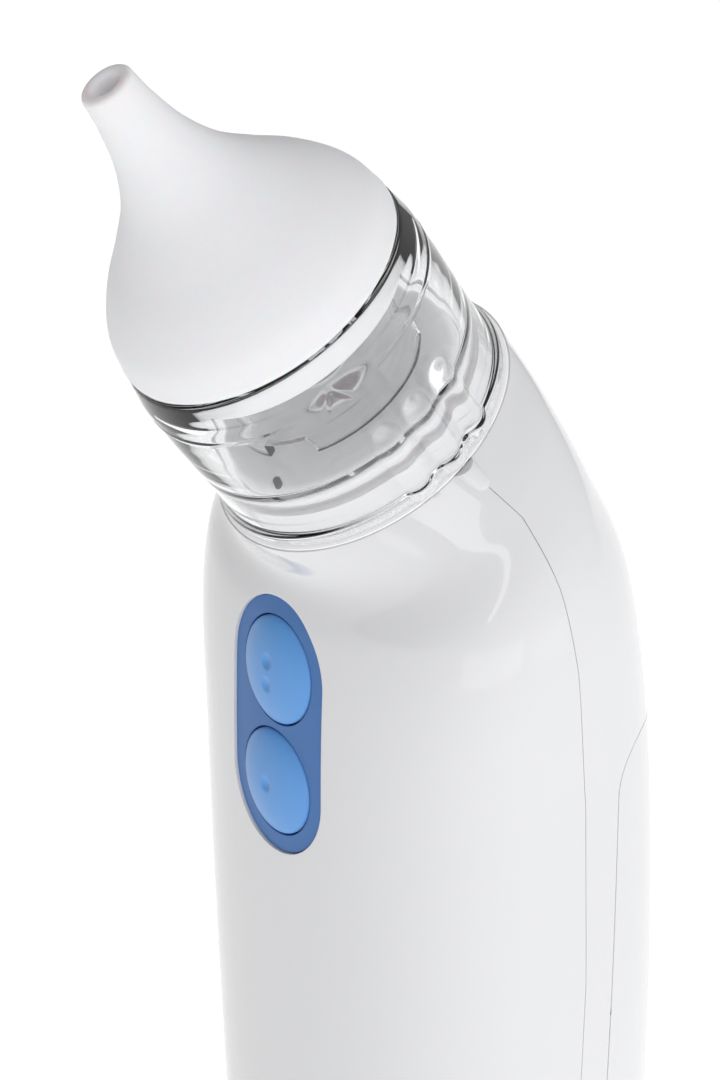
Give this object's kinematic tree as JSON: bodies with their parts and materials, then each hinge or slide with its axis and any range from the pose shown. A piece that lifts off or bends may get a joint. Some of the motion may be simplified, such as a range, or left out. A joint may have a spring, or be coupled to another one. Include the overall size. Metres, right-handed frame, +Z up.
{
  "type": "nasal aspirator",
  "caption": "Battery nasal aspirator: white leaning handset, blue step buttons, clear collection cup and a soft bell nozzle.",
  "frame": {"origin": "middle of the flat base", "axes": "+Z up, -Y is the button side that the nozzle leans towards, +X to the right side seen from behind the nozzle"},
  "size_m": [0.057, 0.0641, 0.1617],
  "materials": {
    "white_shell": "gloss moulded ABS",
    "blue_silicone": "satin moulded silicone",
    "clear_plastic": "clear polycarbonate",
    "frosted_silicone": "matt translucent silicone",
    "grey_plastic": "matt moulded plastic",
    "black_plastic": "matt moulded plastic",
    "steel": "plated steel",
    "spring_steel": "nickel-plated spring steel",
    "circuit_board": "solder-masked fibreglass",
    "crank_plastic": "natural acetal",
    "battery_wrap": "printed foil sleeve, plain",
    "lead_red": "PVC insulation",
    "lead_black": "PVC insulation"
  },
  "bodies": {
    "handset": {"front_housing": "white_shell", "rear_housing": "white_shell", "suction_deck": "white_shell", "button_pad": "blue_silicone", "circuit_board": "circuit_board", "high_switch_body": "black_plastic", "low_switch_body": "black_plastic", "motor_driver_chip": "black_plastic", "case_screw_upper_left": "steel", "case_screw_upper_right": "steel", "case_screw_lower_left": "steel", "case_screw_lower_right": "steel", "board_screw_left": "steel", "board_screw_right": "steel", "motor": "steel", "pump_case": "black_plastic", "pump_diaphragm": "black_plastic", "pump_head": "grey_plastic", "suction_hose": "frosted_silicone", "port_seal": "frosted_silicone", "battery_cradle": "black_plastic", "battery_left": "battery_wrap", "battery_right": "battery_wrap", "positive_contact": "spring_steel", "negative_contact": "spring_steel", "bridge_contact": "spring_steel", "motor_lead_red": "lead_red", "motor_lead_black": "lead_black"},
    "high_button": {"high_power_button": "blue_silicone"},
    "low_button": {"low_power_button": "blue_silicone"},
    "high_stem": {"high_switch_stem": "grey_plastic"},
    "low_stem": {"low_switch_stem": "grey_plastic"},
    "cup_seal": {"cup_seal_ring": "frosted_silicone"},
    "cup": {"collection_cup": "clear_plastic", "splash_guard": "clear_plastic"},
    "nozzle": {"silicone_nozzle": "frosted_silicone"},
    "door": {"battery_door": "white_shell"},
    "motor_rotor": {"motor_shaft": "steel", "crank_disc": "crank_plastic"}
  },
  "joints": [
    {"name": "high_button_press", "type": "slide", "parent": "handset", "child": "high_button", "axis": [0, 1, 0], "range_m": [0, 0.0008], "stiffness_N_per_m": 900},
    {"name": "low_button_press", "type": "slide", "parent": "handset", "child": "low_button", "axis": [0, 1, 0], "range_m": [0, 0.0008], "stiffness_N_per_m": 900},
    {"name": "high_stem_travel", "type": "slide", "parent": "handset", "child": "high_stem", "axis": [0, 1, 0], "range_m": [0, 0.00056]},
    {"name": "low_stem_travel", "type": "slide", "parent": "handset", "child": "low_stem", "axis": [0, 1, 0], "range_m": [0, 0.00056]},
    {"name": "cup_twist", "type": "hinge", "parent": "handset", "child": "cup_seal", "pos_m": [0, -0.0235, 0.1377], "axis": [0, -0.5996, 0.8003], "range_deg": [-20, 0]},
    {"name": "cup_pull", "type": "slide", "parent": "cup_seal", "child": "cup", "axis": [0, -0.5996, 0.8003], "range_m": [0, 0.03]},
    {"name": "nozzle_pull", "type": "slide", "parent": "cup", "child": "nozzle", "axis": [0, -0.5996, 0.8003], "range_m": [0, 0.02]},
    {"name": "door_hinge", "type": "hinge", "parent": "handset", "child": "door", "pos_m": [0, 0.0211, 0.005], "axis": [-1, 0, 0], "range_deg": [0, 75]},
    {"name": "motor_spin", "type": "hinge", "parent": "handset", "child": "motor_rotor", "pos_m": [0, 0.001, 0.09], "axis": [0, 0, 1], "continuous": true}
  ],
  "couplings": [
    {"joint": "high_stem_travel", "follows": "high_button_press", "ratio": 0.7},
    {"joint": "low_stem_travel", "follows": "low_button_press", "ratio": 0.7}
  ]
}
